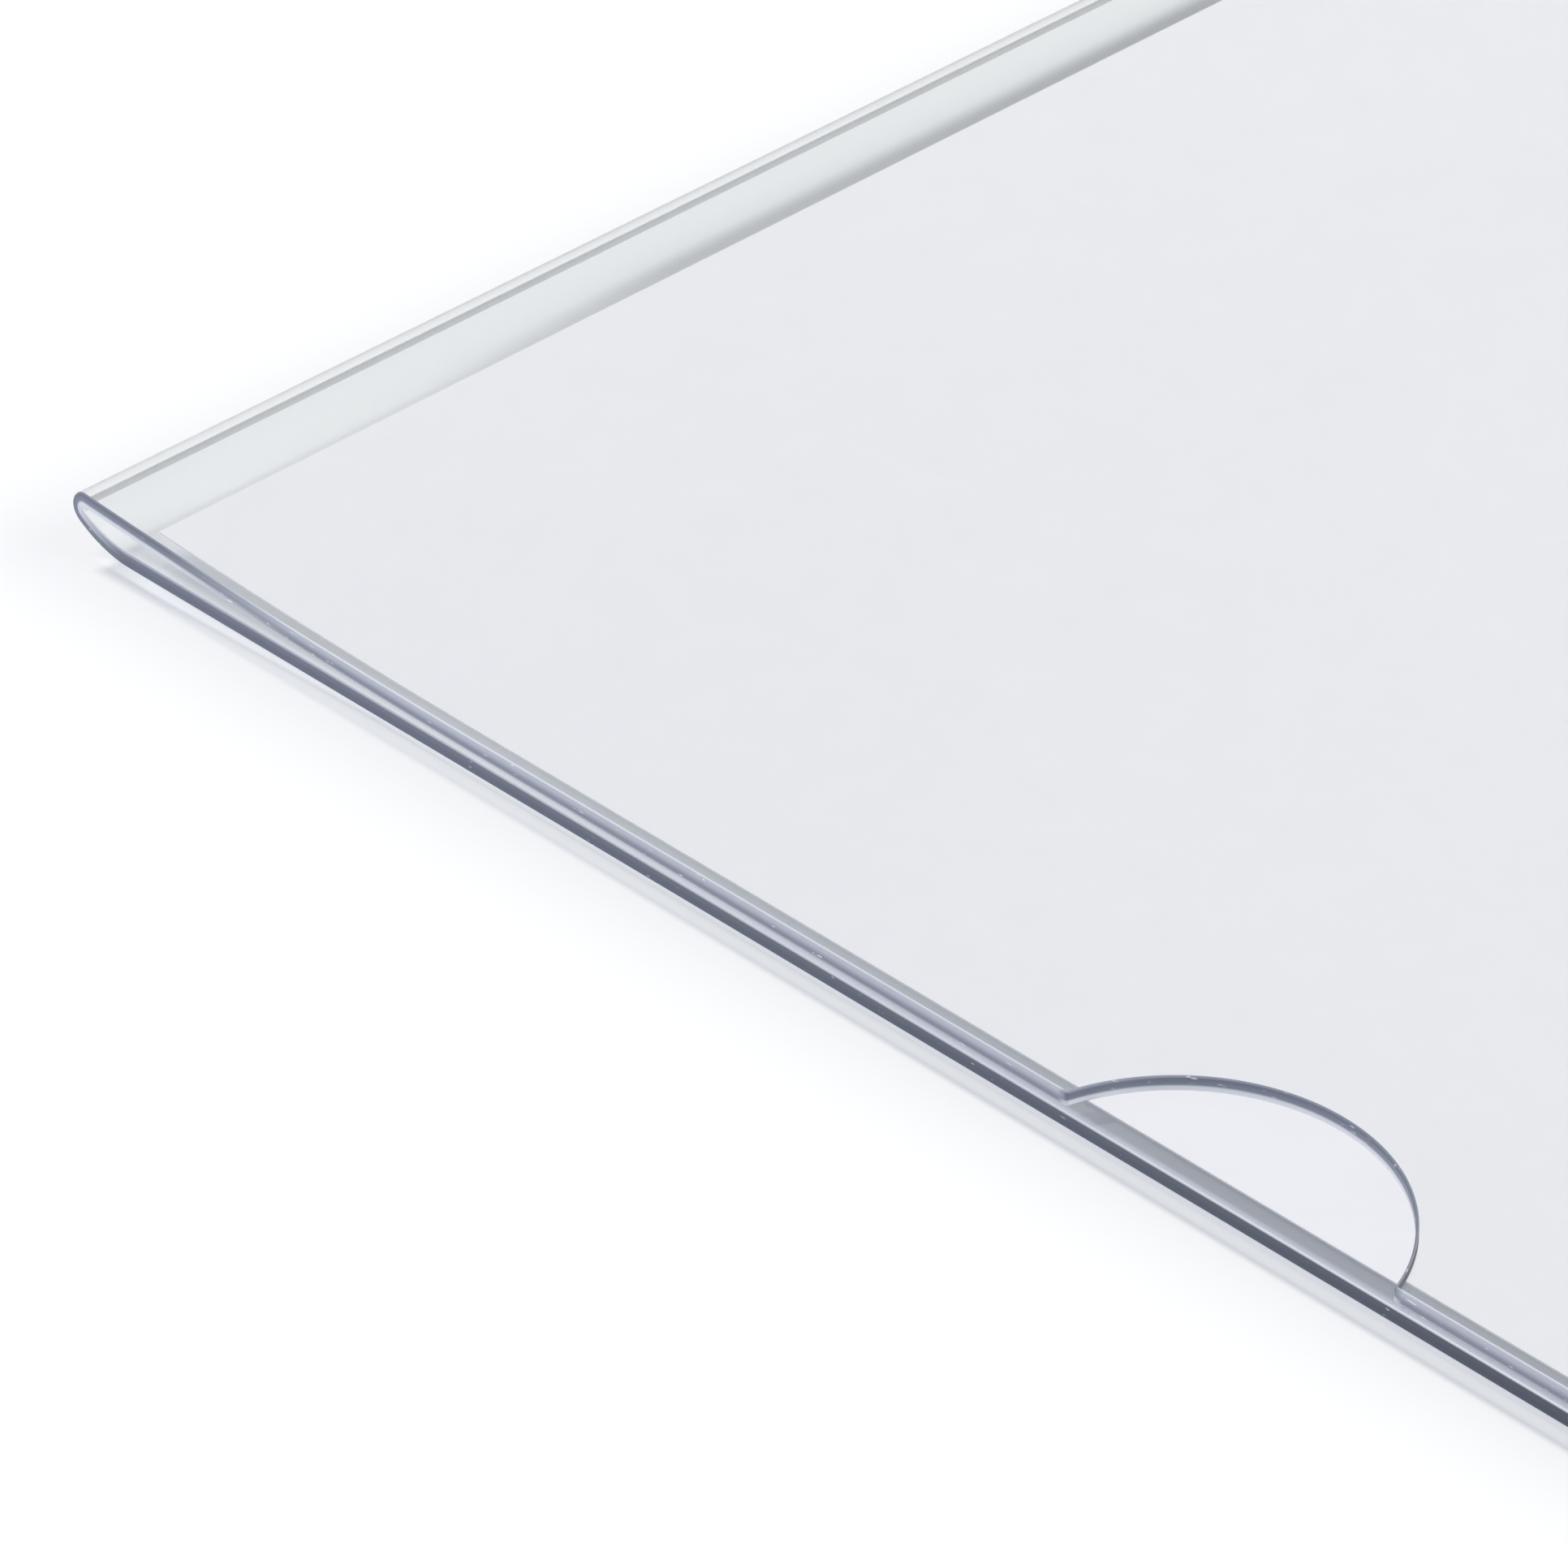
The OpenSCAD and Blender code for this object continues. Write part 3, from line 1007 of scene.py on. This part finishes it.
class OBJECT_OT_sign_holder_stage(bpy.types.Operator):
    """Sets up the camera, the lamps, the white table and the white surroundings"""

    bl_idname = "object.sign_holder_stage"
    bl_label = "Set Stage"

    def execute(self, context):
        stage = context.scene.sign_holder.stage
        set_camera(context.scene, stage)
        set_lamps(context.scene)
        set_floor(stage)
        set_world(context.scene)
        context.scene.view_settings.view_transform = "Standard"
        context.scene.cycles.max_bounces = BOUNCES
        context.scene.cycles.transmission_bounces = BOUNCES
        context.scene.cycles.glossy_bounces = BOUNCES
        context.scene.cycles.transparent_max_bounces = BOUNCES
        return {"FINISHED"}


def set_camera(scene, stage):
    """Camera at the photograph's viewing angle."""
    az, el = stage.azimuth, stage.elevation
    back = Vector((math.sin(az) * math.cos(el), -math.cos(az) * math.cos(el), math.sin(el)))
    level = Vector((math.cos(az), math.sin(az), 0))
    upright = back.cross(level)
    right = level * math.cos(stage.roll) + upright * math.sin(stage.roll)
    up = upright * math.cos(stage.roll) - level * math.sin(stage.roll)
    camera = bpy.data.cameras.new("camera")
    camera.lens = stage.lens
    camera.sensor_width = 36
    camera.clip_start = 0.01
    obj = bpy.data.objects.new("camera", camera)
    scene.collection.objects.link(obj)
    place = Vector(stage.target) + stage.distance * back
    obj.matrix_world = Matrix.Translation(place) @ Matrix((right, up, back)).transposed().to_4x4()
    scene.camera = obj


def set_lamps(scene):
    """A soft window at the right of the picture, and a wide fill from the front."""
    for name, side, distance, size, energy, colour in LAMPS:
        towards = Vector(side).normalized()
        lamp = bpy.data.lights.new(name, "AREA")
        lamp.shape = "DISK"
        lamp.size = size
        lamp.energy = energy
        lamp.color = colour
        obj = bpy.data.objects.new(name, lamp)
        scene.collection.objects.link(obj)
        obj.location = distance * towards
        obj.rotation_euler = towards.to_track_quat("Z", "Y").to_euler()
        obj.visible_glossy = False
        obj.visible_transmission = False


def set_floor(stage):
    """A white table that keeps the holder's shadow."""
    mesh = bpy.data.meshes.new("table")
    signs = ((-1, -1), (1, -1), (1, 1), (-1, 1))
    mesh.from_pydata([(TABLE_REACH * i, TABLE_REACH * j, -TABLE_DROP) for i, j in signs], [], [(0, 1, 2, 3)])
    floor = link_piece("table", mesh)
    material = new_material("white_table")
    tree = material.node_tree
    place = own_place(tree)
    apart = off_holder(tree, place)
    # Under the middle of the holder the table throws soft light up at its back.
    side, end = split(tree, apart)[:2]
    upward = map_range(tree, math_node(tree, "MAXIMUM", side, end), (-14 * MM, -4 * MM), (0.34, 0.0))
    soft = add_node(tree, "ShaderNodeEmission", {"Color": WHITE, "Strength": upward})
    white = add_node(tree, "ShaderNodeBsdfDiffuse", {"Color": (*stage.floor, 1)})
    plain = add_shaders(tree, white, soft)
    # What is seen keeps the shadow, and its own brightness makes it white away from the holder; near the
    # holder that brightness holds painted light and painted shade.
    strength, colour = glow(tree, place, apart)
    lit = add_node(tree, "ShaderNodeEmission", {"Color": colour, "Strength": strength})
    shaded = add_node(tree, "ShaderNodeBsdfDiffuse", {"Color": (0.61, 0.613, 0.605, 1)})
    seen = add_shaders(tree, shaded, lit)
    surface = mix_shaders(tree, ray_share(tree, *SEEING_RAYS), plain, seen)
    # From below the table is left out, so that the holder's back can be seen.
    below = add_node(tree, "ShaderNodeNewGeometry").outputs["Backfacing"]
    nothing = add_node(tree, "ShaderNodeBsdfTransparent")
    set_surface(tree, mix_shaders(tree, below, surface, nothing))
    mesh.materials.append(material)


def off_holder(tree, place):
    """Distance on the table from the holder's box along each axis, negative under the holder."""
    reach = (CAD_BOX[1].x, CAD_BOX[1].y, 1)
    return vector_node(tree, "SUBTRACT", vector_node(tree, "ABSOLUTE", place), reach)


def glow(tree, place, apart):
    """The table's own brightness and colour: plain white away from the holder, with painted shade near it,
    painted light and shade under its rim and heel, and a bluer painted shade under its outer rim.
    """
    outside = vector_node(tree, "MAXIMUM", apart, (0, 0, 0))
    distance = add_node(tree, "ShaderNodeVectorMath", {0: outside}, operation="LENGTH").outputs["Value"]
    # Painted shade: the table is dimmer within a few millimetres of the holder.
    around = map_range(tree, distance, (2 * MM, 16 * MM), (0.27, 0.4))
    # Distances up the sign from the fold, and across it from the outer edge
    x, y = split(tree, place)[:2]
    up = math_node(tree, "SUBTRACT", x, POCKET_LOW.x)
    across = math_node(tree, "SUBTRACT", y, POCKET_LOW.y)
    # The back panel bends the window's light under its outer rim, where the paper would leave it dark.
    darker = map_range(tree, up, (50 * MM, 150 * MM), (0.0, -0.15))
    lighter = map_range(tree, up, (50 * MM, 150 * MM), (0.26, 0.17))
    rim = map_range(tree, across, (1.9 * MM, 0.9 * MM), (darker, lighter))
    front = map_range(tree, up, (15 * MM, 45 * MM), (-1.3 * MM, -0.3 * MM))
    inside = rising(tree, math_node(tree, "SUBTRACT", across, front), 0.0, 0.5 * MM)
    past_heel = rising(tree, up, 4 * MM, 12 * MM)
    at_rim = product(tree, falling(tree, across, 4 * MM, 6 * MM), inside, past_heel)
    # The heel does the same under the paper's lower edge near the tip, and shades it further in.
    paper_edge = falling(tree, up, 11 * MM, 13 * MM)
    lifted = product(
        tree,
        map_range(tree, across, (35 * MM, 75 * MM), (0.2, 0.0)),
        rising(tree, across, 2 * MM, 6 * MM),
        rising(tree, up, 5.5 * MM, 8.5 * MM),
        paper_edge,
    )
    shaded = product(
        tree,
        map_range(tree, across, (75 * MM, 150 * MM), (0.0, -0.2)),
        falling(tree, across, 200 * MM, 212 * MM),
        rising(tree, up, 5 * MM, 7.5 * MM),
        paper_edge,
    )
    lower = math_node(tree, "ADD", lifted, shaded)
    both = math_node(tree, "ADD", product(tree, rim, at_rim), lower)
    under = product(tree, both, falling(tree, distance, 1.4 * MM, 2.4 * MM))
    # Painted shade colour: the light under the outer rim is tinted bluer.
    bluer = product(
        tree,
        at_rim,
        rising(tree, across, 0.0, 0.3 * MM),
        map_range(tree, up, (40 * MM, 140 * MM), (0.2, 1.0)),
    )
    colour = blend(tree, bluer, (0.95, 0.98, 1.005, 1), (0.86, 0.92, 1.15, 1))
    return math_node(tree, "ADD", around, under), colour


def set_world(scene):
    """White surroundings: soft light, a plain white view, and a greyer band near level for mirrored rays."""
    world = bpy.data.worlds.new("white_surroundings")
    world.use_nodes = True
    tree = world.node_tree
    tree.nodes.clear()
    direction = add_node(tree, "ShaderNodeTexCoord").outputs["Generated"]
    band = map_range(tree, split(tree, direction)["Z"], (0.05, 0.45), (0.65, 1.0))
    soft = add_node(tree, "ShaderNodeBackground", {"Color": (0.93, 0.96, 1.08, 1), "Strength": 0.54})
    mirrored = add_node(tree, "ShaderNodeBackground", {"Color": WHITE, "Strength": band})
    white = add_node(tree, "ShaderNodeBackground", {"Color": WHITE, "Strength": 1.0})
    seen = mix_shaders(tree, ray_share(tree, *SEEING_RAYS), soft, mirrored)
    mixed = mix_shaders(tree, ray_share(tree, "Is Camera Ray"), seen, white)
    add_node(tree, "ShaderNodeOutputWorld", {"Surface": mixed.outputs[0]})
    scene.world = world


class VIEW3D_PT_sign_holder(bpy.types.Panel):
    """Lists the steps that build the sign holder"""

    bl_idname = "VIEW3D_PT_sign_holder"
    bl_label = "Sign Holder"
    bl_space_type = "VIEW_3D"
    bl_region_type = "UI"
    bl_category = "Sign Holder"

    def draw(self, context):
        for operator in OPERATORS:
            self.layout.operator(operator.bl_idname)


OPERATORS = (
    OBJECT_OT_sign_holder_stage,
    OBJECT_OT_sign_holder_pocket,
    OBJECT_OT_sign_holder_sign,
    OBJECT_OT_sign_holder_tapes,
    OBJECT_OT_sign_holder_liners,
)
CLASSES = (
    PocketSettings,
    SignSettings,
    TapeSettings,
    StageSettings,
    SignHolderSettings,
    *OPERATORS,
    VIEW3D_PT_sign_holder,
)


def register():
    for cls in CLASSES:
        bpy.utils.register_class(cls)
    bpy.types.Scene.sign_holder = bpy.props.PointerProperty(type=SignHolderSettings)


def unregister():
    del bpy.types.Scene.sign_holder
    for cls in reversed(CLASSES):
        bpy.utils.unregister_class(cls)


def main():
    register()
    bpy.ops.object.sign_holder_stage()
    bpy.ops.object.sign_holder_pocket()
    bpy.ops.object.sign_holder_sign()
    bpy.ops.object.sign_holder_tapes()
    bpy.ops.object.sign_holder_liners()


if __name__ == "__main__":
    main()
